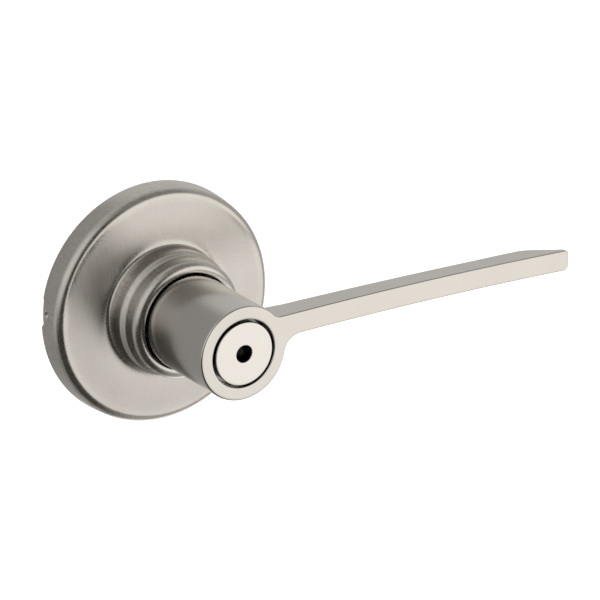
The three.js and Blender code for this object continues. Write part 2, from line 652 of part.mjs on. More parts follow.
addNode('drive_tube', driveTube(), 'zincPlate');
addNode('spring_driver', springDriver(), 'darkSteel');
addNode('retaining_ring', retainingRing(), 'springSteel');
addNode('collar_washer', ring(TUBE_RADIUS + SEAT_GAP, 12.3, -13.8, -12.8), 'nylon');
addNode('lever', lever(), 'satinNickel');
addNode('insert_disc', insertDisc(), 'polishedNickel');
addNode('insert_retainer', insertRetainer(), 'springSteel');
addNode('catch_spring', catchSpring(), 'springSteel');
addNode('rod_guide', rodGuide(), 'nylon');
addNode('release_spring', releaseSpring(), 'springSteel');
addNode('spindle_plug', spindlePlug(), 'zincPlate');
addNode('spindle_pin', spindlePin(), 'springSteel');
addNode('half_round_spindle', halfRoundSpindle(), 'zincPlate');

addNode('lever_catch', leverCatch(), 'darkSteel');
addNode('release_plunger', releasePlunger(), 'darkSteel');

export default group;
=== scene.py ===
import json
import math

import bmesh
import bpy
from mathutils import Matrix, Vector


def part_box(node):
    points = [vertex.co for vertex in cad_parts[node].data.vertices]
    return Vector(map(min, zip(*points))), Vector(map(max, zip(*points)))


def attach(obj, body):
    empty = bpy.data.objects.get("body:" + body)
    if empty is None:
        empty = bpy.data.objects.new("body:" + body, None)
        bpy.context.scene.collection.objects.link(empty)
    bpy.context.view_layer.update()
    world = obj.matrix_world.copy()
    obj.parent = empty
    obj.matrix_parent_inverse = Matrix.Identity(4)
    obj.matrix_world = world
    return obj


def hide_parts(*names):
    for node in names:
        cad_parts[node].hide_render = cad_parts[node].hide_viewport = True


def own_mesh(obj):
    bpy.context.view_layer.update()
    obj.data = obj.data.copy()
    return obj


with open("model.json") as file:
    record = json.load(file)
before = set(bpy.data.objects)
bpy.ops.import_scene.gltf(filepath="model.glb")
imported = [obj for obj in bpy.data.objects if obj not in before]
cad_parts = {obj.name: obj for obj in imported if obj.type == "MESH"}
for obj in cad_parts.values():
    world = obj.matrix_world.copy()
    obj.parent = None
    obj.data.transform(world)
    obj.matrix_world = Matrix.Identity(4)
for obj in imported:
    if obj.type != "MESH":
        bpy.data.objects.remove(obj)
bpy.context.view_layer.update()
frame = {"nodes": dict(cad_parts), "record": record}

# Looks of a door lever handle, built around its CAD frame. Shapes are worked out in
# millimetres, with +Y into the door, +X along the lever and +Z up, and stored in metres.

MM = 0.001
SHARP_DEGREES = 38
WELD_DISTANCE = 2e-7


def mm(node):
    """The lowest and highest corners of a CAD node, in millimetres."""
    low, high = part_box(node)
    return low / MM, high / MM


# ---------------------------------------------------------------- measures from the frame

ROSE_LOW, ROSE_HIGH = mm("rose_cover")
LEVER_LOW, LEVER_HIGH = mm("lever")
INSERT_LOW, INSERT_HIGH = mm("insert_disc")
PLATE_LOW, PLATE_HIGH = mm("mounting_plate")
TUBE_LOW, TUBE_HIGH = mm("drive_tube")
POST_LOW, POST_HIGH = mm("post_right")

ROSE_RADIUS = ROSE_HIGH.x
LIP_Y = ROSE_LOW.y
HUB_FACE_Y = LEVER_LOW.y
HUB_RADIUS = 12.75
SHANK_RADIUS = -LEVER_LOW.x
SHANK_END_Y = LEVER_HIGH.y
BAR_TIP_X = LEVER_HIGH.x

# ---------------------------------------------------------------- mesh helpers


def circle(radius, degrees):
    """X and Z at an angle round the spindle axis, from +X towards +Z."""
    angle = math.radians(degrees)
    return radius * math.cos(angle), radius * math.sin(angle)


def arc(centre_r, centre_y, radius, start, end, steps):
    """Points on an arc in the (radius, y) plane, angles in degrees."""
    points = []
    for i in range(steps + 1):
        angle = math.radians(start + (end - start) * i / steps)
        points.append((centre_r + radius * math.cos(angle), centre_y + radius * math.sin(angle)))
    return points


def rounded(points, radius=0.2, steps=3):
    """A closed outline with its corners rounded. A point may carry a radius of its own."""
    result = []
    count = len(points)
    for i, point in enumerate(points):
        here = Vector(point[:2])
        before = Vector(points[i - 1][:2]) - here
        after = Vector(points[(i + 1) % count][:2]) - here
        size = point[2] if len(point) > 2 else radius
        turn = before.angle(after)
        if size <= 0 or turn > math.radians(176):
            result.append(tuple(here))
            continue
        reach = min(size / math.tan(turn / 2), 0.48 * before.length, 0.48 * after.length)
        start = here + before.normalized() * reach
        end = here + after.normalized() * reach
        for k in range(steps + 1):
            t = k / steps
            result.append(tuple(start * (1 - t) ** 2 + here * 2 * t * (1 - t) + end * t**2))
    return result


def bridge(bm, rings, wrap_rings=False, wrap_points=True):
    """Faces between neighbouring rings of vertices that have the same count."""
    pairs = list(zip(rings, rings[1:] + rings[:1])) if wrap_rings else list(zip(rings, rings[1:]))
    for low, high in pairs:
        count = len(low)
        for i in range(count if wrap_points else count - 1):
            j = (i + 1) % count
            corners = [low[i], low[j], high[j], high[i]]
            unique = list(dict.fromkeys(corners))
            if len(unique) > 2:
                bm.faces.new(unique)


def vertex(bm, x, y, z):
    """A vertex at a place given in millimetres."""
    return bm.verts.new((x * MM, y * MM, z * MM))


def turned_bmesh(profile, sides=128, centre=(0.0, 0.0)):
    """A closed outline of (radius, y) points turned about an axis along Y."""
    bm = bmesh.new()
    rings = []
    for radius, y in profile:
        if radius < 1e-6:
            rings.append([vertex(bm, centre[0], y, centre[1])] * sides)
            continue
        ring = []
        for i in range(sides):
            x, z = circle(radius, 360 * i / sides)
            ring.append(vertex(bm, x + centre[0], y, z + centre[1]))
        rings.append(ring)
    bridge(bm, rings, wrap_rings=True)
    return bm


def plate_bmesh(outline, y0, y1, edge=0.15):
    """An outline of (x, z) points carried along Y, with small rounded edges."""
    bm = bmesh.new()
    count = len(outline)
    normals = outline_normals(outline)
    steps = 3
    rows = []
    for k in range(steps + 1):
        angle = math.pi / 2 * k / steps
        rows.append((edge * (1 - math.sin(angle)), y0 + edge * (1 - math.cos(angle))))
    rows += [(inset, y0 + y1 - y) for inset, y in reversed(rows)]
    rings = []
    for inset, y in rows:
        ring = []
        for i in range(count):
            x = outline[i][0] - normals[i][0] * inset
            z = outline[i][1] - normals[i][1] * inset
            ring.append(vertex(bm, x, y, z))
        rings.append(ring)
    bridge(bm, rings)
    bm.faces.new(rings[0])
    bm.faces.new(rings[-1])
    return bm


def outline_normals(outline):
    """Outward directions of a counter-clockwise outline of (x, z) points."""
    normals = []
    count = len(outline)
    for i in range(count):
        before = Vector(outline[i - 1])
        after = Vector(outline[(i + 1) % count])
        here = Vector(outline[i])
        first, second = (here - before).normalized(), (after - here).normalized()
        along = (first + second).normalized()
        normals.append((along.y, -along.x))
    return normals


def swept_bmesh(points, radius, sides=12):
    """Round wire along a list of points, with domed ends."""
    bm = bmesh.new()
    path = [Vector(p) for p in points]
    count = len(path)
    tangents = []
    for i in range(count):
        ahead = path[min(i + 1, count - 1)] - path[max(i - 1, 0)]
        tangents.append(ahead.normalized())
    side = tangents[0].orthogonal().normalized()
    rings = []
    for i in range(count):
        side = (side - tangents[i] * side.dot(tangents[i])).normalized()
        other = tangents[i].cross(side)
        ring = []
        for k in range(sides):
            angle = 2 * math.pi * k / sides
            place = path[i] + (side * math.cos(angle) + other * math.sin(angle)) * radius
            ring.append(vertex(bm, *place))
        rings.append(ring)
    bridge(bm, rings)
    for end, sign in ((0, -1), (count - 1, 1)):
        tip = vertex(bm, *(path[end] + tangents[end] * radius * 0.5 * sign))
        bridge(bm, [rings[end], [tip] * sides])
    return bm


def finish_piece(name, bm, body, material, nodes=(), sharp=SHARP_DEGREES):
    """Turns a bmesh into a piece that rides on a body and stands for CAD nodes."""
    bmesh.ops.remove_doubles(bm, verts=bm.verts, dist=WELD_DISTANCE)
    bmesh.ops.recalc_face_normals(bm, faces=bm.faces)
    mesh = bpy.data.meshes.new(name)
    bm.to_mesh(mesh)
    bm.free()
    mesh.shade_smooth()
    mesh.set_sharp_from_angle(angle=math.radians(sharp))
    mesh.materials.append(material)
    piece = bpy.data.objects.new(name, mesh)
    bpy.context.scene.collection.objects.link(piece)
    weighted = piece.modifiers.new("weighted_normals", "WEIGHTED_NORMAL")
    weighted.keep_sharp = True
    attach(piece, body)
    for node in nodes:
        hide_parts(node)
    return piece


def bake_cuts(piece, cutters):
    """Cuts the cutters' meshes out of a piece and removes the cutters."""
    for cutter in cutters:
        modifier = piece.modifiers.new("cut", "BOOLEAN")
        modifier.operation = "DIFFERENCE"
        modifier.solver = "EXACT"
        modifier.object = cutter
    while piece.modifiers[0].type == "WEIGHTED_NORMAL" and len(piece.modifiers) > 1:
        piece.modifiers.move(0, len(piece.modifiers) - 1)
    bpy.context.view_layer.update()
    normals = piece.modifiers[-1]
    normals.show_viewport = False
    graph = bpy.context.evaluated_depsgraph_get()
    mesh = bpy.data.meshes.new_from_object(piece.evaluated_get(graph))
    old = piece.data
    piece.data = mesh
    name = old.name
    bpy.data.meshes.remove(old)
    mesh.name = name
    for modifier in [m for m in piece.modifiers if m.type == "BOOLEAN"]:
        piece.modifiers.remove(modifier)
    normals.show_viewport = True
    for cutter in cutters:
        bpy.data.objects.remove(cutter)
    mesh.shade_smooth()
    mesh.set_sharp_from_angle(angle=math.radians(SHARP_DEGREES))


def cutter_object(name, bm):
    """A plain object that bake_cuts uses once and removes."""
    bmesh.ops.recalc_face_normals(bm, faces=bm.faces)
    mesh = bpy.data.meshes.new(name)
    bm.to_mesh(mesh)
    bm.free()
    cutter = bpy.data.objects.new(name, mesh)
    bpy.context.scene.collection.objects.link(cutter)
    return cutter


def block_bmesh(low, high):
    """A box between two corners."""
    bm = bmesh.new()
    bmesh.ops.create_cube(bm, size=1)
    size = Vector(high) - Vector(low)
    middle = (Vector(high) + Vector(low)) / 2
    bm.transform(Matrix.Translation(middle * MM) @ Matrix.Diagonal((*(size * MM), 1)))
    return bm


def peg_bmesh(radius, start, end, sides=32):
    """A closed cylinder between two points."""
    bm = bmesh.new()
    start, end = Vector(start), Vector(end)
    along = end - start
    bmesh.ops.create_cone(
        bm, cap_ends=True, segments=sides, radius1=radius * MM, radius2=radius * MM, depth=along.length * MM
    )
    turn = along.to_track_quat("Z", "Y").to_matrix().to_4x4()
    bm.transform(Matrix.Translation((start + end) / 2 * MM) @ turn)
    return bm


# ---------------------------------------------------------------- materials


class Nodes:
    """Small helper that adds nodes to a material and links them."""

    def __init__(self, name):
        self.material = bpy.data.materials.new(name)
        self.material.use_nodes = True
        self.tree = self.material.node_tree
        self.shader = self.tree.nodes["Principled BSDF"]

    def add(self, kind, **values):
        node = self.tree.nodes.new(kind)
        for key, value in values.items():
            setattr(node, key, value)
        return node

    def link(self, source, target):
        self.tree.links.new(source, target)

    def math(self, operation, first, second=None, clamp=False):
        node = self.add("ShaderNodeMath", operation=operation, use_clamp=clamp)
        for socket, value in zip(node.inputs, (first, second)):
            if value is None:
                continue
            if isinstance(value, (int, float)):
                socket.default_value = value
            else:
                self.link(value, socket)
        return node.outputs[0]

    def ramp(self, source, low, high, out_low=0.0, out_high=1.0, smooth=False):
        node = self.add("ShaderNodeMapRange")
        node.interpolation_type = "SMOOTHSTEP" if smooth else "LINEAR"
        limits = {"From Min": low, "From Max": high, "To Min": out_low, "To Max": out_high}
        for name, value in limits.items():
            node.inputs[name].default_value = value
        self.link(source, node.inputs["Value"])
        return node.outputs["Result"]

    def noise(self, vector, scale, detail=3.0, roughness=0.55):
        node = self.add("ShaderNodeTexNoise")
        node.inputs["Scale"].default_value = scale
        node.inputs["Detail"].default_value = detail
        node.inputs["Roughness"].default_value = roughness
        self.link(vector, node.inputs["Vector"])
        return node.outputs["Fac"]

    def position(self):
        return self.add("ShaderNodeTexCoord").outputs["Object"]

    def stretched(self, vector, turn, stretch):
        """The position in axes turned by Euler angles in degrees, then stretched along them."""
        node = self.add("ShaderNodeMapping", vector_type="TEXTURE")
        node.inputs["Rotation"].default_value = [math.radians(a) for a in turn]
        node.inputs["Scale"].default_value = [1 / s for s in stretch]
        self.link(vector, node.inputs["Vector"])
        return node.outputs["Vector"]

    def radius(self, vector):
        """The distance from the spindle axis, and the place along it."""
        parts = self.add("ShaderNodeSeparateXYZ")
        self.link(vector, parts.inputs[0])
        x, y, z = parts.outputs
        square = self.math("ADD", self.math("MULTIPLY", x, x), self.math("MULTIPLY", z, z))
        return self.math("SQRT", square), y

    def turning(self, vector, fineness):
        """Noise in fine rings about the spindle axis, which drift slowly from place to place."""
        radius, y = self.radius(vector)
        joined = self.add("ShaderNodeCombineXYZ")
        self.link(self.math("MULTIPLY", radius, fineness), joined.inputs[0])
        self.link(self.math("MULTIPLY", y, fineness), joined.inputs[1])
        self.link(self.math("MULTIPLY", self.noise(vector, 110, detail=2), 9), joined.inputs[2])
        return self.noise(joined.outputs[0], 1.0, detail=4, roughness=0.62)

    def mix(self, factor, first, second):
        node = self.add("ShaderNodeMix", data_type="RGBA")
        self.link(factor, node.inputs["Factor"])
        for name, value in (("A", first), ("B", second)):
            socket = [s for s in node.inputs if s.name == name and s.type == "RGBA"][0]
            if isinstance(value, tuple):
                socket.default_value = (*value, 1.0)
            else:
                self.link(value, socket)
        return [s for s in node.outputs if s.type == "RGBA"][0]

    def wear(self, low=0.505, high=0.56):
        """1 along convex edges, 0 elsewhere."""
        pointiness = self.add("ShaderNodeNewGeometry").outputs["Pointiness"]
        return self.ramp(pointiness, low, high, smooth=True)

    def bump(self, height, strength, distance):
        node = self.add("ShaderNodeBump")
        node.inputs["Strength"].default_value = strength
        node.inputs["Distance"].default_value = distance
        self.link(height, node.inputs["Height"])
        self.link(node.outputs["Normal"], self.shader.inputs["Normal"])


def metal(name, color, dark, rough, streaks, streak_rough=0.08, bump=0.06):
    """Brushed metal. Each streak layer is (turn in degrees, stretch, scale), or turned rings."""
    n = Nodes(name)
    place = n.position()
    total = None
    for turn, stretch, scale in streaks:
        if turn is None:
            layer = n.turning(place, scale)
        else:
            layer = n.noise(n.stretched(place, turn, stretch), scale, detail=4, roughness=0.62)
        total = layer if total is None else n.math("ADD", total, layer)
    streak = n.ramp(n.math("DIVIDE", total, len(streaks)), 0.3, 0.7)
    clouds = n.ramp(n.noise(place, 90, detail=3), 0.3, 0.7)
    tint = n.math("ADD", n.math("MULTIPLY", streak, 0.55), n.math("MULTIPLY", clouds, 0.45), clamp=True)
    n.link(n.mix(tint, dark, color), n.shader.inputs["Base Color"])
    uneven = n.math("MULTIPLY", n.math("SUBTRACT", streak, 0.5), streak_rough)
    patchy = n.math("MULTIPLY", n.math("SUBTRACT", clouds, 0.5), 0.05)
    n.link(n.math("ADD", n.math("ADD", uneven, patchy), rough, clamp=True), n.shader.inputs["Roughness"])
    n.bump(streak, bump, 0.00002)
    n.shader.inputs["Metallic"].default_value = 1.0
    return n.material


def rose_nickel():
    """Satin nickel on the stamped rose: strokes of a brush crossing in patches on its face, with a painted
    highlight over the face and painted shade in its slits and hollows.
    """
    n = Nodes("satin_nickel_rose")
    place = n.position()
    strokes = None
    for turn, seed in ((8, 0.13), (52, 0.37), (-38, 0.71), (86, 0.91)):
        streak = n.noise(n.stretched(place, (0, turn, 0), (18, 60, 420)), 9, detail=5, roughness=0.65)
        shifted = n.stretched(place, (seed * 90, seed * 200, 0), (1, 1, 1))
        patch = n.ramp(n.noise(shifted, 55, detail=1), 0.42, 0.6, smooth=True)
        layer = n.math("MULTIPLY", n.math("SUBTRACT", streak, 0.5), patch)
        strokes = layer if strokes is None else n.math("ADD", strokes, layer)
    turned = n.math("SUBTRACT", n.turning(place, 3400), 0.5)
    grain = n.math("SUBTRACT", n.noise(place, 2600, detail=2), 0.5)
    streak = n.math("ADD", n.math("MULTIPLY", strokes, 1.8), n.math("MULTIPLY", turned, 0.3))
    streak = n.math("ADD", streak, n.math("MULTIPLY", grain, 0.25))
    clouds = n.math("SUBTRACT", n.noise(place, 70, detail=3), 0.5)
    wear = n.wear()
    radius = n.radius(place)[0]
    # Painted highlight: the flat face, from the neck's toe out to the corner, is painted lighter to stand
    # in for the bright light it reflects; it is also made rougher.
    face = n.math(
        "MULTIPLY", n.ramp(radius, 0.0182, 0.021, smooth=True), n.ramp(radius, 0.0302, 0.0288, smooth=True)
    )
    tint = n.math("ADD", n.math("ADD", n.math("MULTIPLY", streak, 0.85), 0.5), clouds, clamp=True)
    # The face's painted highlight is added to the colour here.
    tint = n.math("ADD", tint, n.math("MULTIPLY", face, 0.34), clamp=True)
    plain = n.mix(tint, (0.50, 0.473, 0.435), (0.725, 0.697, 0.655))
    # Painted shade: where the AO node finds walls within 1.1 mm (the slits, the mouth's gap and other
    # hollows), the colour is mixed to near black.
    shade_probe_ao = n.add("ShaderNodeAmbientOcclusion", samples=8)
    shade_probe_ao.inputs["Distance"].default_value = 0.0011
    outside_painted_shade = n.ramp(shade_probe_ao.outputs["AO"], 0.3, 0.7, smooth=True)
    worn = n.mix(wear, plain, (0.78, 0.76, 0.73))
    n.link(n.mix(outside_painted_shade, (0.03, 0.027, 0.024), worn), n.shader.inputs["Base Color"])
    rough = n.math("ADD", n.math("MULTIPLY", streak, 0.16), n.math("MULTIPLY", clouds, 0.08))
    rough = n.math("ADD", rough, n.math("MULTIPLY", face, 0.12))
    rough = n.math("ADD", n.math("ADD", rough, n.math("MULTIPLY", wear, -0.05)), 0.245, clamp=True)
    n.link(rough, n.shader.inputs["Roughness"])
    n.bump(n.math("ADD", streak, n.math("MULTIPLY", clouds, 0.2)), 0.12, 0.00002)
    n.shader.inputs["Metallic"].default_value = 1.0
    return n.material


def nylon():
    """Pale moulded nylon, slightly translucent."""
    n = Nodes("nylon")
    place = n.position()
    clouds = n.ramp(n.noise(place, 300, detail=3), 0.3, 0.7)
    n.link(n.mix(clouds, (0.74, 0.71, 0.63), (0.83, 0.81, 0.75)), n.shader.inputs["Base Color"])
    n.link(n.ramp(n.noise(place, 1800, detail=2), 0.3, 0.7, 0.42, 0.6), n.shader.inputs["Roughness"])
    n.bump(n.noise(place, 2400, detail=2), 0.1, 0.00003)
    n.shader.inputs["Subsurface Weight"].default_value = 0.08
    n.shader.inputs["Subsurface Radius"].default_value = (0.001, 0.0008, 0.0006)
    return n.material


# Streak layers for metal: turn in degrees, stretch and scale.
ALONG_BAR = ((0, 0, 0), (20, 300, 420), 9)
AROUND = (None, None, 3400)
FINE = ((0, 0, 0), (1, 1, 1), 2600)

MATERIALS = {
    "satin_nickel_rose": rose_nickel(),
    "satin_nickel_lever": metal(
        "satin_nickel_lever", (0.68, 0.652, 0.612), (0.615, 0.587, 0.548), 0.17, [ALONG_BAR, FINE, AROUND],
        streak_rough=0.06, bump=0.05,
    ),
    "satin_nickel_insert": metal(
        "satin_nickel_insert", (0.75, 0.722, 0.682), (0.70, 0.67, 0.63), 0.15, [AROUND, FINE],
        streak_rough=0.05, bump=0.04,
    ),
    "zinc_plated_steel": metal(
        "zinc_plated_steel", (0.60, 0.62, 0.645), (0.45, 0.47, 0.49), 0.36, [AROUND, FINE], bump=0.1,
    ),
    "dark_steel": metal("dark_steel", (0.27, 0.275, 0.285), (0.16, 0.165, 0.17), 0.38, [AROUND, FINE]),
    "spring_steel": metal("spring_steel", (0.46, 0.46, 0.47), (0.33, 0.33, 0.345), 0.28, [FINE]),
    "bronze": metal("bronze", (0.60, 0.40, 0.2), (0.42, 0.27, 0.13), 0.4, [AROUND, FINE], bump=0.1),
    "nylon": nylon(),
}


def piece(name, bm, body, slot, nodes=(), sharp=SHARP_DEGREES):
    """A finished piece in the material of its slot."""
    return finish_piece(name, bm, body, MATERIALS[slot], nodes, sharp)


# ---------------------------------------------------------------- rose

ROSE_SHEET = 0.8
ROSE_SIDES = 288
RIM_EDGE = 0.12
SIDE_DRAFT = 0.45
CORNER = 2.4
FACE_Y = -7.5
FOOT_Y = -7.75
TOE_RADIUS = 20.6
NECK_RADIUS = 17.3
STEP_FROM_Y, STEP_TO_Y = -12.9, -15.0
STEP_DEPTH = 0.95
SHOULDER = 2.15
MOUTH_RADIUS = 13.5
TONGUE_FROM, TONGUE_TO = 168.0, 180.7
TONGUE_END_Y = -3.7
SLIT_WIDTH = 0.5
DENT_RADIUS, DENT_Y = 1.2, -2.5
PIERCE_RADIUS, PIERCE_Y = 0.42, -2.7


def neck_toe(inset):
    """The run from the face into the neck: a gentle rise, then a tighter turn."""
    a, b = Vector((TOE_RADIUS, FOOT_Y)), Vector((NECK_RADIUS + 0.3, FOOT_Y - 0.03))
    c, d = Vector((NECK_RADIUS, FOOT_Y - 0.2)), Vector((NECK_RADIUS, FOOT_Y - 1.85))
    points = []
    for i in range(25):
        t = i / 24
        point = a * (1 - t) ** 3 + b * 3 * t * (1 - t) ** 2 + c * 3 * t * t * (1 - t) + d * t**3
        run = ((b - a) * (1 - t) ** 2 + (c - b) * 2 * t * (1 - t) + (d - c) * t * t).normalized()
        points.append((point.x + run.y * inset, point.y - run.x * inset))
    return points


def rose_side(inset, fine):
    """One face of the rose's sheet from the back rim to the mouth, as (radius, y) points."""
    top_r = ROSE_RADIUS - SIDE_DRAFT
    corner_r = top_r - CORNER
    corner_y = FACE_Y + CORNER
    points = [(ROSE_RADIUS - inset, -RIM_EDGE if fine else 0)]
    rows = 9
    for i in range(1, rows):
        share = i / rows
        points.append((ROSE_RADIUS - inset - SIDE_DRAFT * share**1.6, corner_y * share))
    points += arc(corner_r, corner_y, CORNER - inset, 0, -90, 14)
    for i in range(1, 8):
        share = i / 8
        radius = corner_r + (TOE_RADIUS - corner_r) * share
        points.append((radius, FACE_Y + (FOOT_Y - FACE_Y) * share * share * (3 - 2 * share) + inset))
    points += neck_toe(inset)
    for i in range(9):
        share = i / 8
        radius = NECK_RADIUS - inset - STEP_DEPTH * share * share * (3 - 2 * share)
        points.append((radius, STEP_FROM_Y + (STEP_TO_Y - STEP_FROM_Y) * share))
    wall_r = NECK_RADIUS - STEP_DEPTH - 0.05
    points += arc(wall_r - SHOULDER, LIP_Y + SHOULDER, SHOULDER - inset, 0, -90, 14)
    if fine:
        points += [(MOUTH_RADIUS + 0.12, LIP_Y), (MOUTH_RADIUS + 0.03, LIP_Y + 0.04)]
    points.append((MOUTH_RADIUS, LIP_Y + (0.14 if fine else inset)))
    return points


def rose_bmesh():
    """The stamped rose's sheet, before its slits and dimple are cut."""
    outer = rose_side(0, True)
    inner = rose_side(ROSE_SHEET, False)
    rim = [(ROSE_RADIUS - RIM_EDGE, 0), (ROSE_RADIUS - ROSE_SHEET + RIM_EDGE, 0)]
    return turned_bmesh(outer + inner[::-1] + rim[::-1], ROSE_SIDES)


def radial_peg(radius, degrees, y, inner, outer):
    """A round peg that points away from the spindle axis."""
    start = circle(inner, degrees)
    end = circle(outer, degrees)
    return peg_bmesh(radius, (start[0], y, start[1]), (end[0], y, end[1]), 24)


def slit_cutter(degrees):
    """A thin block through the side wall, from behind the rim to the tongue's root."""
    half = SLIT_WIDTH / 2
    bm = block_bmesh((ROSE_RADIUS - 3, TONGUE_END_Y, -half), (ROSE_RADIUS + 2, 1, half))
    bm.transform(Matrix.Rotation(math.radians(-degrees), 4, "Y"))
    return bm


def press_tongue(mesh):
    """Presses the tongue in, most at its free end and at its lower side."""
    for v in mesh.vertices:
        x, y, z = v.co / MM
        radius = math.hypot(x, z)
        degrees = math.degrees(math.atan2(z, x)) % 360
        if radius < ROSE_RADIUS - 2 or y < TONGUE_END_Y:
            continue
        if not TONGUE_FROM < degrees < TONGUE_TO:
            continue
        along = min(1, (y - TONGUE_END_Y) / -TONGUE_END_Y)
        across = (degrees - TONGUE_FROM) / (TONGUE_TO - TONGUE_FROM)
        press = (0.22 + 0.33 * across) * along * along * (3 - 2 * along)
        factor = (radius - press) / radius
        v.co = Vector((x * factor, y, z * factor)) * MM


def build_rose():
    """The rose with its two slits, its pierced dimple and the snap tongue between the slits."""
    rose = piece("rose_cover_stamping", rose_bmesh(), "rose", "satin_nickel_rose", ["rose_cover"])
    middle = (TONGUE_FROM + TONGUE_TO) / 2 + 0.4
    dent = bmesh.new()
    bmesh.ops.create_uvsphere(dent, u_segments=32, v_segments=16, radius=DENT_RADIUS * MM)
    x, z = circle(ROSE_RADIUS + 0.35, middle)
    dent.transform(Matrix.Translation(Vector((x, DENT_Y, z)) * MM))
    pierce = radial_peg(PIERCE_RADIUS, middle - 0.5, PIERCE_Y, ROSE_RADIUS - 3, ROSE_RADIUS + 2)
    cutters = [
        cutter_object("slit_above", slit_cutter(TONGUE_FROM)),
        cutter_object("slit_below", slit_cutter(TONGUE_TO)),
        cutter_object("dent", dent),
        cutter_object("pierce", pierce),
    ]
    bake_cuts(rose, cutters)
    press_tongue(rose.data)


# ---------------------------------------------------------------- lever

BAR_HEIGHT = 6.0
BAR_CROWN_X = 48.0
BAR_CROWN_Z = 8.19
BAR_ARCH_RADIUS = 1600.0
TIP_CORNER = 1.5
FILLET_ABOVE = 2.6
FILLET_BELOW = 5.0
FRONT_EDGE = 0.45
BACK_EDGE = 0.9
BORE_RADIUS = 9.25
BORE_END_Y = -40.2
REAR_BORE_RADIUS = 8.3
BORE_EDGE = 0.22
BACK_Y = -39.05
REAR_EDGE = 0.4
TAPER_END_Y = -18.0
FILLET_ABOVE_X = 12
FILLET_BELOW_X = 16
BACK_SLOPE_X, BACK_SLOPE_LENGTH = 17.5, 57.5
SWELL_X, SWELL_WIDTH, SWELL_HEIGHT = 91, 8, 0.22
TIP_TURN_X, TIP_TURN_LENGTH, TIP_TURN_DEPTH = 93.0, 12.0, 4.45
CORNER_FILLET = 1.3
HUB_SIDE_POINTS = 132
HUB_BAR_POINTS = 24
BAR_POINTS = 64


def bar_top(x):
    """The bar's top edge, a long shallow arch."""
    return BAR_CROWN_Z - BAR_ARCH_RADIUS + math.sqrt(BAR_ARCH_RADIUS**2 - (x - BAR_CROWN_X) ** 2)


def bar_back(x):
    """Where the bar's back lies: almost flat, then rounded off towards the tip."""
    if x < BACK_SLOPE_X:
        return BACK_Y
    flat = BACK_Y - math.sin(math.pi / 2 * min(1, (x - BACK_SLOPE_X) / BACK_SLOPE_LENGTH))
    swell = SWELL_HEIGHT * math.exp(-(((x - SWELL_X) / SWELL_WIDTH) ** 2))
    run = min(1.0, max(0.0, (x - TIP_TURN_X) / TIP_TURN_LENGTH))
    eased, turned = run**2 * (3 - 2 * run), 1 - math.cos(math.pi / 2 * run)
    drop = TIP_TURN_DEPTH * (0.55 * eased + 0.45 * turned)
    return flat + swell - drop


class Fillet:
    """The round between the hub and one edge of the bar. Side is 1 above the bar, -1 below."""

    def __init__(self, edge_z, radius, side):
        self.radius = radius
        self.z = edge_z + side * radius
        self.x = math.sqrt((HUB_RADIUS + radius) ** 2 - self.z**2)
        self.to_hub = math.degrees(math.atan2(-self.z, -self.x))
        self.to_edge = -90.0 * side

    def points(self, steps):
        """From the hub to the bar's edge."""
        span = (self.to_edge - self.to_hub + 180) % 360 - 180
        result = []
        for i in range(steps + 1):
            x, z = circle(self.radius, self.to_hub + span * i / steps)
            result.append((self.x + x, self.z + z))
        return result

    def hub_angle(self):
        return math.degrees(math.atan2(self.z, self.x))


def tip_points(end):
    """Round the tip's two corners, from the top edge to the bottom edge."""
    top = bar_top(end) - TIP_CORNER
    bottom = bar_top(end) - BAR_HEIGHT + TIP_CORNER
    points = []
    for centre_z, start in ((top, 90), (bottom, 0)):
        for i in range(7):
            x, z = circle(TIP_CORNER, start - 90 * i / 6)
            points.append((end + x, centre_z + z))
    return points[1:-1]


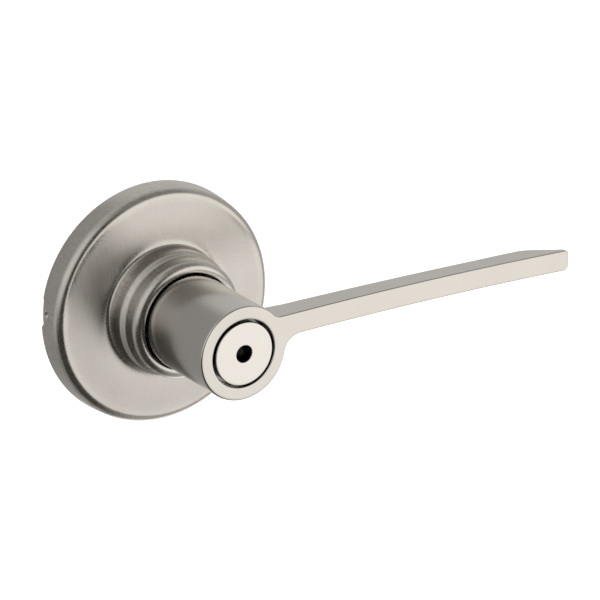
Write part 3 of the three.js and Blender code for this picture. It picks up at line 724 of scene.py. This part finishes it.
def lever_bmesh():
    """Hub and bar as one casting: one outline for its front, then the hub's shank behind."""
    bm = bmesh.new()
    above = Fillet(bar_top(FILLET_ABOVE_X), FILLET_ABOVE, 1)
    below = Fillet(bar_top(FILLET_BELOW_X) - BAR_HEIGHT, FILLET_BELOW, -1)
    end = BAR_TIP_X - TIP_CORNER
    rungs = [below.x + (end - below.x) * i / BAR_POINTS for i in range(BAR_POINTS + 1)]
    leads = [above.x + (below.x - above.x) * i / 6 for i in range(1, 6)]
    top_run = above.points(8)[1:] + [(x, bar_top(x)) for x in leads]
    bottom_run = below.points(14)[1:-1][::-1]
    top_angle, bottom_angle = above.hub_angle(), below.hub_angle()
    free = 360 - (top_angle - bottom_angle)
    side_angles = [bottom_angle - free * i / HUB_SIDE_POINTS for i in range(HUB_SIDE_POINTS + 1)]
    bar_angles = [
        top_angle - (top_angle - bottom_angle) * i / HUB_BAR_POINTS for i in range(1, HUB_BAR_POINTS)
    ]
    tip = tip_points(end)
    bar_part = top_run + [(x, bar_top(x)) for x in rungs] + tip
    bar_part += [(x, bar_top(x) - BAR_HEIGHT) for x in rungs[::-1]] + bottom_run
    outline = bar_part + [circle(HUB_RADIUS, a) for a in side_angles]
    bar_count = len(bar_part)
    normals = [(-x, -z) for x, z in outline_normals(outline)]
    for i, angle in enumerate(side_angles):
        normals[bar_count + i] = circle(1.0, angle)

    backs, edges = [], []
    for i, (x, z) in enumerate(outline):
        on_bar = i < bar_count
        backs.append(bar_back(x) if on_bar else BACK_Y)
        ease = min(1.0, max(0.0, (x - 10.5) / 7.0)) if on_bar else 0.0
        edges.append(BACK_EDGE * ease * ease * (3 - 2 * ease))

    def row(inset_of, y_of):
        ring = []
        for i, (x, z) in enumerate(outline):
            inset = inset_of(i)
            ring.append(vertex(bm, x - normals[i][0] * inset, y_of(i), z - normals[i][1] * inset))
        return ring

    rows = []
    for k in range(6):
        t = math.pi / 2 * k / 5
        rows.append(row(
            lambda i: FRONT_EDGE * (1 - math.sin(t)),
            lambda i: HUB_FACE_Y + FRONT_EDGE * (1 - math.cos(t)),
        ))
    for k in range(1, 6):
        share = k / 5
        start = HUB_FACE_Y + FRONT_EDGE
        rows.append(row(lambda i: 0.0, lambda i: start + (backs[i] - edges[i] - start) * share))
    for k in range(1, 6):
        t = math.pi / 2 * k / 5
        rows.append(row(
            lambda i: edges[i] * (1 - math.cos(t)),
            lambda i: backs[i] - edges[i] * (1 - math.sin(t)),
        ))
    bridge(bm, rows)

    hub_angles = side_angles + bar_angles
    spread = [0.0] * len(side_angles)
    for i in range(1, HUB_BAR_POINTS):
        spread.append(CORNER_FILLET * math.sin(math.pi * i / HUB_BAR_POINTS) ** 0.5)

    def hub_ring(radius_of, y_of):
        ring = []
        for i, angle in enumerate(hub_angles):
            x, z = circle(radius_of(i), angle)
            ring.append(vertex(bm, x, y_of(i), z))
        return ring

    def plain_ring(radius, y):
        return hub_ring(lambda i: radius, lambda i: y)

    rear = []
    for k in range(5):
        t = math.pi / 2 * k / 4
        rear.append(hub_ring(
            lambda i: HUB_RADIUS + spread[i] * (1 - math.sin(t)),
            lambda i: BACK_Y + spread[i] * (1 - math.cos(t)),
        ))
    for share in (0.12, 0.3, 0.5, 0.7, 0.88):
        radius = HUB_RADIUS + (SHANK_RADIUS - HUB_RADIUS) * share
        rear.append(plain_ring(radius, BACK_Y + (TAPER_END_Y - BACK_Y) * share))
    for k in range(4):
        t = math.pi / 2 * k / 3
        radius = SHANK_RADIUS - REAR_EDGE * (1 - math.cos(t))
        rear.append(plain_ring(radius, SHANK_END_Y - REAR_EDGE * (1 - math.sin(t))))
    rear.append(plain_ring(REAR_BORE_RADIUS + 0.3, SHANK_END_Y))
    rear.append(plain_ring(REAR_BORE_RADIUS, SHANK_END_Y - 0.3))
    rear.append(plain_ring(REAR_BORE_RADIUS, BORE_END_Y + 0.2))
    rear.append(plain_ring(REAR_BORE_RADIUS + 0.2, BORE_END_Y))
    rear.append(plain_ring(BORE_RADIUS, BORE_END_Y))
    rear.append(plain_ring(BORE_RADIUS, HUB_FACE_Y + 2.5))
    for k in range(4):
        t = math.pi / 2 * k / 3
        radius = BORE_RADIUS + BORE_EDGE * (1 - math.cos(t))
        rear.append(plain_ring(radius, HUB_FACE_Y + BORE_EDGE * (1 - math.sin(t))))
    for radius in (BORE_RADIUS + 0.7, HUB_RADIUS - FRONT_EDGE - 0.5, HUB_RADIUS - FRONT_EDGE):
        rear.append(plain_ring(radius, HUB_FACE_Y))
    bridge(bm, rear)

    counts = [len(part) for part in (top_run, rungs, tip, bottom_run, side_angles)]
    close_bar(bm, rows[0], rear[-1], *counts)
    close_bar(bm, rows[-1], rear[0], *counts)
    return bm


def close_bar(bm, ring, hub, tops, rungs, tips, bottoms, sides):
    """Closes the bar's front or back: a patch at the hub, rungs along the bar, and the tip."""
    upper = ring[tops:tops + rungs]
    lower = ring[tops + rungs + tips:tops + 2 * rungs + tips][::-1]
    for i in range(rungs - 1):
        bm.faces.new([upper[i], upper[i + 1], lower[i + 1], lower[i]])
    bm.faces.new([upper[-1], *ring[tops + rungs:tops + rungs + tips], lower[-1]])
    start = tops + 2 * rungs + tips
    bottom = ring[start:start + bottoms]
    bar_side = ring[:tops] + [upper[0], lower[0]] + bottom
    bm.faces.new(bar_side + [ring[start + bottoms]] + hub[sides:][::-1] + [ring[-1]])


def build_lever():
    """The casting, with the hole for the catch in the hub's underside."""
    body = piece("lever_casting", lever_bmesh(), "lever_body", "satin_nickel_lever", ["lever"], sharp=50)
    catch_y = (mm("lever_catch")[0].y + mm("lever_catch")[1].y) / 2
    hole = peg_bmesh(1.4, (0, catch_y, -SHANK_RADIUS - 2), (0, catch_y, -REAR_BORE_RADIUS + 0.6), 48)
    bake_cuts(body, [cutter_object("catch_hole", hole)])


def build_insert():
    """The insert's cap with its stem and the emergency release hole."""
    radius, face, end = INSERT_HIGH.x, INSERT_LOW.y, INSERT_HIGH.y
    hole, stem, thick = 2.33, 5.0, 1.4
    profile = rounded([
        (hole, face, 0.16), (hole + 0.6, face, 0), (4.2, face, 0), (6.2, face, 0), (radius - 0.8, face, 0),
        (radius, face, 0.22), (radius, face + thick, 0.1), (stem, face + thick, 0.3),
        (stem, end, 0.3), (hole, end, 0.1),
    ], steps=4)
    piece("insert_cap", turned_bmesh(profile, 160), "lever_body", "satin_nickel_insert", ["insert_disc"])


# ---------------------------------------------------------------- pieces behind the rose


def simple_turned(node, name, body, slot, profile, sides=128):
    """A piece turned about the spindle axis that stands for one node."""
    return piece(name, turned_bmesh(rounded(profile, 0.15), sides), body, slot, [node])


def build_post(node):
    """A swaged post, tapped from its free end; the thread is a row of fine grooves."""
    low, high = mm(node)
    centre = ((low.x + high.x) / 2, 0.0)
    head, neck, shank, seat = 3.7, 2.6, 3.8, 0.3
    bore, crest, pitch, depth = 1.95, 1.62, 0.7, 8.5
    end = high.y
    profile = [
        (0, low.y, 0), (head, low.y, 0.35), (head, low.y + 0.8, 0.1), (neck, low.y + 0.8, 0.05),
        (neck, seat, 0.05), (shank, seat, 0.2), (shank, end - 1.5, 0.1), (3.45, end - 0.35, 0.2),
        (3.3, end, 0.15), (2.2, end, 0.1), (bore, end - 0.4, 0),
    ]
    y = end - 0.4
    while y > end - depth:
        profile += [(crest, y - pitch / 2, 0), (bore, y - pitch, 0)]
        y -= pitch
    profile += [(1.4, y - 0.4, 0), (0, y - 1.3, 0)]
    bm = turned_bmesh(rounded(profile, 0.1, 3), 72, centre)
    piece(f"{node}_swaged", bm, "rose", "zinc_plated_steel", [node])


def build_plate():
    """The stamped mounting plate, with a pressed bead round it and holes for its fasteners."""
    radius, thick, rim_y, sheet, hole = PLATE_HIGH.x, 1.6, PLATE_LOW.y, 0.9, 9.8
    profile = [
        (hole, 0, 0.2), (15.5, 0, 0.4), (16.2, -0.45, 0.4), (18.0, -0.45, 0.4), (18.7, 0, 0.4),
        (24.6, 0, 0.4), (25.1, -0.3, 0.3), (25.9, -0.3, 0.3), (26.4, 0, 0.4),
        (radius, 0, 0.5), (radius, rim_y, 0.2), (radius - sheet, rim_y, 0.2),
        (radius - sheet, -thick, 0.4), (hole, -thick, 0.2),
    ]
    bm = turned_bmesh(rounded(profile, 0.2, 3), 192)
    plate = piece("mounting_plate_stamping", bm, "rose", "zinc_plated_steel", ["mounting_plate"])
    cutters = []
    for node in ("cage_screw_top", "cage_screw_left", "cage_screw_right"):
        low, high = mm(node)
        x, z = (low.x + high.x) / 2, (low.z + high.z) / 2
        cutters.append(cutter_object("screw_hole", peg_bmesh(1.5, (x, -6, z), (x, 3, z))))
    for side in (-1, 1):
        x = side * (POST_LOW.x + POST_HIGH.x) / 2
        cutters.append(cutter_object("post_hole", peg_bmesh(2.85, (x, -6, 0), (x, 3, 0), 48)))
    bake_cuts(plate, cutters)


def build_back_pieces():
    """All the pieces behind the rose and inside the hub that have a shape of their own here."""
    build_post("post_left")
    build_post("post_right")
    build_plate()
    tube, bore = TUBE_HIGH.x, 6.5
    low, high = TUBE_LOW.y, TUBE_HIGH.y
    simple_turned("drive_tube", "drive_tube_turned", "lever_body", "zinc_plated_steel", [
        (bore, low, 0.3), (tube, low, 0.4), (tube, 1.8, 0.05), (7.3, 1.8, 0.05), (7.3, 3.4, 0.05),
        (tube, 3.4, 0.1), (tube, high, 0.35), (bore, high, 0.25),
    ], 144)
    low, high = mm("bearing_bush")
    simple_turned("bearing_bush", "bearing_bush_flanged", "rose", "bronze", [
        (8.15, high.y, 0.25), (8.15, low.y, 0.25), (high.x, low.y, 0.2), (high.x, low.y + 0.8, 0.2),
        (9.5, low.y + 0.8, 0.1), (9.5, high.y, 0.2),
    ])
    low, high = mm("rear_thrust_washer")
    simple_turned("rear_thrust_washer", "thrust_washer_turned", "rose", "bronze", [
        (8.3, low.y), (high.x, low.y), (high.x, high.y), (8.3, high.y),
    ])
    low, high = mm("collar_washer")
    simple_turned("collar_washer", "collar_washer_moulded", "lever_body", "nylon", [
        (8.3, low.y), (high.x, low.y), (high.x, high.y), (8.3, high.y),
    ])
    low, high = mm("insert_retainer")
    simple_turned("insert_retainer", "insert_retainer_ring", "lever_body", "spring_steel", [
        (5.3, low.y), (high.x, low.y), (high.x, high.y), (5.3, high.y),
    ])
    low, high = mm("rod_guide")
    simple_turned("rod_guide", "rod_guide_moulded", "lever_body", "nylon", [
        (1.45, low.y, 0.3), (4.2, low.y, 0.1), (4.4, low.y + 0.3, 0.1), (high.x, low.y + 0.3, 0.2),
        (high.x, high.y, 0.2), (1.45, high.y, 0.3),
    ])
    low, high = mm("release_plunger")
    head = high.x
    simple_turned("release_plunger", "release_plunger_turned", "plunger", "dark_steel", [
        (0, low.y + 0.35, 0), (1.4, low.y + 0.35, 0.1), (1.7, low.y, 0.1), (head, low.y, 0.25),
        (head, low.y + 1.2, 0.25), (1.2, low.y + 1.2, 0.2), (1.2, high.y - 0.5, 0.1),
        (0.75, high.y, 0.1), (0, high.y, 0),
    ], 96)
    build_spindle()
    build_retaining_ring()
    build_springs()
    build_catch_spring()


def build_spindle():
    """The half-round bar: round below, flat above, with chamfered ends."""
    low, high = mm("half_round_spindle")
    radius, flat = 4.4, high.z
    half = math.degrees(math.acos(-flat / radius))
    arc_points = []
    for i in range(41):
        angle = -90 - half + 2 * half * i / 40
        arc_points.append(circle(radius, angle))
    outline = rounded([(x, z, 0.25 if i in (0, 40) else 0) for i, (x, z) in enumerate(arc_points)], 0, 4)
    bm = plate_bmesh(outline, low.y, high.y, 0.35)
    piece("half_round_spindle_bar", bm, "lever_body", "zinc_plated_steel", ["half_round_spindle"])


def build_retaining_ring():
    """An open ring with an eye at each end."""
    low, high = mm("retaining_ring")
    inner, outer, gap = 7.5, 10.2, 28
    outline = []
    steps = 72
    for i in range(steps + 1):
        outline.append(circle(outer, -90 + gap + (360 - 2 * gap) * i / steps))
    end = circle((inner + outer) / 2, -90 - gap)
    bulge = 1.75
    for i in range(1, 12):
        x, z = circle(bulge, -90 - gap + 14 + 180 * i / 12)
        outline.append((end[0] + x, end[1] + z))
    for i in range(steps + 1):
        outline.append(circle(inner, -90 - gap - (360 - 2 * gap) * i / steps))
    end = circle((inner + outer) / 2, -90 + gap)
    for i in range(1, 12):
        x, z = circle(bulge, -90 + gap - 194 + 180 * i / 12)
        outline.append((end[0] + x, end[1] + z))
    bm = plate_bmesh(outline, low.y, high.y, 0.1)
    ring = piece("retaining_ring_stamped", bm, "lever_body", "spring_steel", ["retaining_ring"])
    cutters = []
    for side in (-1, 1):
        x, z = circle((inner + outer) / 2 + 0.1, -90 + side * gap)
        cutters.append(cutter_object("eye", peg_bmesh(0.75, (x, low.y - 1, z), (x, high.y + 1, z), 24)))
    bake_cuts(ring, cutters)


def helix(radius, start, turns, y0, y1, per_turn):
    """Points on a coil about the spindle axis."""
    count = int(abs(turns) * per_turn)
    points = []
    for i in range(count + 1):
        share = i / count
        x, z = circle(radius, start + 360 * turns * share)
        points.append((x, y0 + (y1 - y0) * share, z))
    return points


def smooth_path(points, steps):
    """Catmull-Rom through the points."""
    path = [Vector(p) for p in points]
    result = []
    for i in range(len(path) - 1):
        p0, p1 = path[max(i - 1, 0)], path[i]
        p2, p3 = path[i + 1], path[min(i + 2, len(path) - 1)]
        for k in range(steps):
            t = k / steps
            square = (2 * p0 - 5 * p1 + 4 * p2 - p3) * t**2
            cube = (3 * p1 - p0 - 3 * p2 + p3) * t**3
            result.append(0.5 * (2 * p1 + (p2 - p0) * t + square + cube))
    return result + [path[-1]]


def build_springs():
    """The torsion spring with its two legs, and the plunger's small coil spring."""
    low, high = mm("return_spring")
    coil, wire, leg_x = 10.2, 0.6, 2.6
    back, front = high.y - wire, low.y + wire
    bend = 7.0
    lean = math.degrees(math.asin(leg_x / coil))
    turns = 3 + 2 * (lean - bend) / 360
    body = helix(coil, 90 - lean + bend, turns, back, front, 30)
    heights = (high.z - 0.3, 12.3, 11.0)
    legs = [[(side * leg_x, y, z) for z in heights] for side, y in ((1, back), (-1, front))]
    path = smooth_path(legs[0] + body + legs[1][::-1], 3)
    piece("return_spring_coil", swept_bmesh(path, wire, 16), "rose", "spring_steel", ["return_spring"])
    low, high = mm("release_spring")
    wire = 0.25
    path = helix(2.6, 0, 3.5, low.y + wire, high.y - wire, 48)
    bm = swept_bmesh(path, wire, 12)
    coil = piece("release_spring_coil", bm, "lever_body", "spring_steel", ["release_spring"])
    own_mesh(coil)


def build_catch_spring():
    """A U-shaped leaf between the tube's wall and the catch's foot, slotted for the plunger's rod."""
    low, high = mm("catch_spring")
    leaf = 0.4
    outline = rounded([
        (low.y, low.z, 0.05), (high.y, low.z, 1.4), (high.y, high.z, 1.4), (low.y, high.z, 0.05),
        (low.y, high.z - leaf, 0.05), (high.y - leaf, high.z - leaf, 1.0),
        (high.y - leaf, low.z + leaf, 1.0), (low.y, low.z + leaf, 0.05),
    ], steps=6)
    bm = bmesh.new()
    sides = [[vertex(bm, x, y, z) for y, z in outline] for x in (low.x, high.x)]
    bridge(bm, sides)
    for side in sides:
        bm.faces.new(side)
    spring = piece("catch_spring_leaf", bm, "lever_body", "spring_steel", ["catch_spring"])
    slot = block_bmesh((-1.85, high.y - 2, -3.6), (1.85, high.y + 1, 3.4))
    bake_cuts(spring, [cutter_object("rod_slot", slot)])
    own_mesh(spring)


# ---------------------------------------------------------------- stage, lights and camera


def build_stage():
    """A pale floor well below the part."""
    floor_z = -0.22
    bpy.ops.mesh.primitive_plane_add(size=12, location=(0, 0, floor_z))
    floor = bpy.context.object
    floor.name = "studio_floor"
    floor.visible_glossy = False
    n = Nodes("pale_floor")
    place = n.position()
    mottle = n.ramp(n.noise(place, 3, detail=2), 0.3, 0.7)
    n.link(n.mix(mottle, (0.9, 0.9, 0.9), (0.93, 0.93, 0.93)), n.shader.inputs["Base Color"])
    n.shader.inputs["Roughness"].default_value = 0.9
    n.shader.inputs["Emission Color"].default_value = (1, 1, 1, 1)
    n.shader.inputs["Emission Strength"].default_value = 0.62
    floor.data.materials.append(n.material)


# Parts of the studio: direction, half-angles where it starts and ends fading, brightness.
STUDIO_BASE = (0.50, 0.492, 0.48)
STUDIO = [
    ((-0.25, 0.95, 0.0), 30, 62, (0.34, 0.335, 0.33)),
    ((-0.42, 0.05, -0.906), 22, 52, (0.30, 0.29, 0.28)),
    ((0.30, -0.50, 0.81), 14, 42, (0.25, 0.24, 0.23)),
    ((-0.40, -0.90, -0.16), 42, 60, (0.052, 0.047, 0.042)),
    ((-0.32, -0.52, -0.79), 18, 38, (0.06, 0.055, 0.05)),
    ((-0.82, -0.42, 0.40), 14, 45, (0.78, 0.77, 0.76)),
    ((0.517, 0.778, 0.357), 16, 40, (0.62, 0.61, 0.60)),
    ((0.59, -0.80, -0.05), 20, 38, (1.20, 1.175, 1.145)),
    ((0.62, 0.375, -0.69), 16, 36, (1.45, 1.43, 1.41)),
]


def build_world():
    """White to the camera, and the studio's areas to everything else."""
    world = bpy.data.worlds.new("studio")
    bpy.context.scene.world = world
    world.use_nodes = True
    tree = world.node_tree
    background = tree.nodes["Background"]
    direction = tree.nodes.new("ShaderNodeTexCoord").outputs["Generated"]
    color = None
    for axis, inner, outer, brightness in STUDIO:
        dot = tree.nodes.new("ShaderNodeVectorMath")
        dot.operation = "DOT_PRODUCT"
        tree.links.new(direction, dot.inputs[0])
        dot.inputs[1].default_value = Vector(axis).normalized()
        fade = tree.nodes.new("ShaderNodeMapRange")
        fade.interpolation_type = "SMOOTHSTEP"
        fade.inputs["From Min"].default_value = math.cos(math.radians(outer))
        fade.inputs["From Max"].default_value = math.cos(math.radians(inner))
        tree.links.new(dot.outputs["Value"], fade.inputs["Value"])
        mix = tree.nodes.new("ShaderNodeMix")
        mix.data_type = "RGBA"
        tree.links.new(fade.outputs["Result"], mix.inputs["Factor"])
        first, second = [s for s in mix.inputs if s.type == "RGBA"]
        if color is None:
            first.default_value = (*STUDIO_BASE, 1)
        else:
            tree.links.new(color, first)
        second.default_value = (*brightness, 1)
        color = [s for s in mix.outputs if s.type == "RGBA"][0]
    tree.links.new(color, background.inputs["Color"])
    background.inputs["Strength"].default_value = 1.0
    sky = tree.nodes.new("ShaderNodeBackground")
    sky.inputs["Color"].default_value = (1, 1, 1, 1)
    path = tree.nodes.new("ShaderNodeLightPath")
    choose = tree.nodes.new("ShaderNodeMixShader")
    tree.links.new(path.outputs["Is Camera Ray"], choose.inputs["Fac"])
    tree.links.new(background.outputs[0], choose.inputs[1])
    tree.links.new(sky.outputs[0], choose.inputs[2])
    tree.links.new(choose.outputs[0], tree.nodes["World Output"].inputs["Surface"])


def build_lights():
    """A broad soft light from above, for the floor and the pale pieces."""
    data = bpy.data.lights.new("overhead_softbox", "AREA")
    data.shape = "DISK"
    data.size = 1.6
    data.energy = 14
    light = bpy.data.objects.new("overhead_softbox", data)
    light.location = (0.2, -0.2, 1.6)
    light.visible_camera = False
    light.visible_glossy = False
    bpy.context.scene.collection.objects.link(light)


CAMERA_AZIMUTH = -33.59
CAMERA_ELEVATION = 20.91
CAMERA_ROLL = 0.09
CAMERA_DISTANCE = 636.8
CAMERA_LENS = 144.0
LOOK_AT = Vector((28.2, -30.0, 3.42))


def build_camera():
    """A long lens at the place the photo was taken from."""
    azimuth, elevation = math.radians(CAMERA_AZIMUTH), math.radians(CAMERA_ELEVATION)
    level = math.cos(elevation)
    back = Vector((math.sin(azimuth) * level, -math.cos(azimuth) * level, math.sin(elevation)))
    right = Vector((math.cos(azimuth), math.sin(azimuth), 0))
    up = back.cross(right)
    data = bpy.data.cameras.new("camera")
    data.lens = CAMERA_LENS
    data.sensor_width = 36
    data.clip_start = 0.02
    camera = bpy.data.objects.new("camera", data)
    roll = Matrix.Rotation(math.radians(CAMERA_ROLL), 4, "Z")
    turn = Matrix((right, up, back)).transposed().to_4x4() @ roll
    camera.matrix_world = Matrix.Translation((LOOK_AT + back * CAMERA_DISTANCE) * MM) @ turn
    bpy.context.scene.collection.objects.link(camera)
    bpy.context.scene.camera = camera


build_camera()
build_stage()
build_world()
build_lights()
bpy.context.scene.view_settings.view_transform = "Standard"

for entry in frame["record"]["subparts"]:
    obj = frame["nodes"][entry["node"]]
    obj.data.materials.clear()
    obj.data.materials.append(MATERIALS[entry["material_slot"]])

build_rose()
build_lever()
build_insert()
build_back_pieces()
